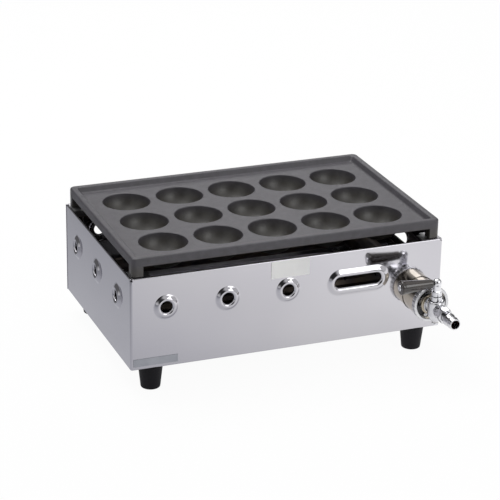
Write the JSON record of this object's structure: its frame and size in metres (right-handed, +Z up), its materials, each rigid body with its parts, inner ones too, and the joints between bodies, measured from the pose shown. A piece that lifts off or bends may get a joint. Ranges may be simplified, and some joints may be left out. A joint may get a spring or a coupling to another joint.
{
  "type": "takoyaki maker",
  "caption": "Countertop gas takoyaki maker: polished sheet casing on rubber feet, lift-off cast pan with round cups, pipe burner, gas cock with turning lever, damper ring and hose nipple.",
  "frame": {"origin": "middle of the whole object's footprint, on the surface that it stands on", "axes": "+X to the right seen from the front, -Y to the front, where the gas cock and hose nipple are, +Z up"},
  "size_m": [0.2936, 0.2608, 0.1222],
  "materials": {
    "polished_sheet": "mirror polished",
    "dull_sheet": "mill finish",
    "cast_iron": "bare casting, seasoned",
    "burner_steel": "heat-darkened",
    "passivated_tube": "yellow passivated, polished",
    "brass": "machined",
    "chrome": "bright plated",
    "satin_ring": "satin, knurled rim",
    "zinc_screw": "zinc plated",
    "rubber": "matte",
    "bakelite": "gloss",
    "fibre": "matte",
    "blank_plate": "satin",
    "blank_paper": "matte"
  },
  "bodies": {
    "casing": {"base_plate": "dull_sheet", "base_screw_1": "zinc_screw", "base_screw_2": "zinc_screw", "base_screw_3": "zinc_screw", "base_screw_4": "zinc_screw", "blank_label": "blank_paper", "burner_front": "burner_steel", "burner_manifold": "burner_steel", "burner_middle": "burner_steel", "burner_rear": "burner_steel", "burner_rest": "dull_sheet", "casing_wrap": "polished_sheet", "cock_body": "chrome", "damper_stop_screw": "zinc_screw", "foot_bolt_front_left": "zinc_screw", "foot_bolt_front_right": "zinc_screw", "foot_bolt_rear_left": "zinc_screw", "foot_bolt_rear_right": "zinc_screw", "foot_front_left": "rubber", "foot_front_right": "rubber", "foot_nut_front_left": "zinc_screw", "foot_nut_front_right": "zinc_screw", "foot_nut_rear_left": "zinc_screw", "foot_nut_rear_right": "zinc_screw", "foot_rear_left": "rubber", "foot_rear_right": "rubber", "gas_jet": "brass", "hose_nipple": "chrome", "hub_nut": "brass", "manifold_rest": "dull_sheet", "mixing_tube": "passivated_tube", "name_plate": "blank_plate", "nipple_gasket": "fibre", "nipple_nut": "chrome", "nozzle_hub": "brass", "pan_ledge_front_left": "dull_sheet", "pan_ledge_front_right": "dull_sheet", "pan_ledge_rear_left": "dull_sheet", "pan_ledge_rear_right": "dull_sheet", "rear_panel": "polished_sheet", "rear_screw_1": "zinc_screw", "rear_screw_2": "zinc_screw", "rear_screw_3": "zinc_screw", "rear_screw_4": "zinc_screw", "rest_screw_1": "zinc_screw", "rest_screw_2": "zinc_screw", "rest_screw_3": "zinc_screw"},
    "pan": {"takoyaki_pan": "cast_iron"},
    "damper": {"damper_ring": "satin_ring"},
    "cock_lever": {"cock_plug": "chrome", "plug_washer": "chrome", "plug_spring_washer": "zinc_screw", "plug_nut": "chrome", "lever_arm": "chrome", "lever_pin": "zinc_screw", "lever_grip": "bakelite", "grip_rod": "chrome"}
  },
  "joints": [
    {"name": "pan_lift", "type": "slide", "parent": "casing", "child": "pan", "axis": [0, 0, 1], "range_m": [0, 0.1]},
    {"name": "cock_turn", "type": "hinge", "parent": "casing", "child": "cock_lever", "pos_m": [0.1228, -0.09265, 0.0555], "axis": [0, 0, 1], "range_deg": [0, 90]},
    {"name": "damper_turn", "type": "hinge", "parent": "casing", "child": "damper", "pos_m": [0.1228, -0.081, 0.0555], "axis": [0, -1, 0], "range_deg": [-44, 0]}
  ]
}
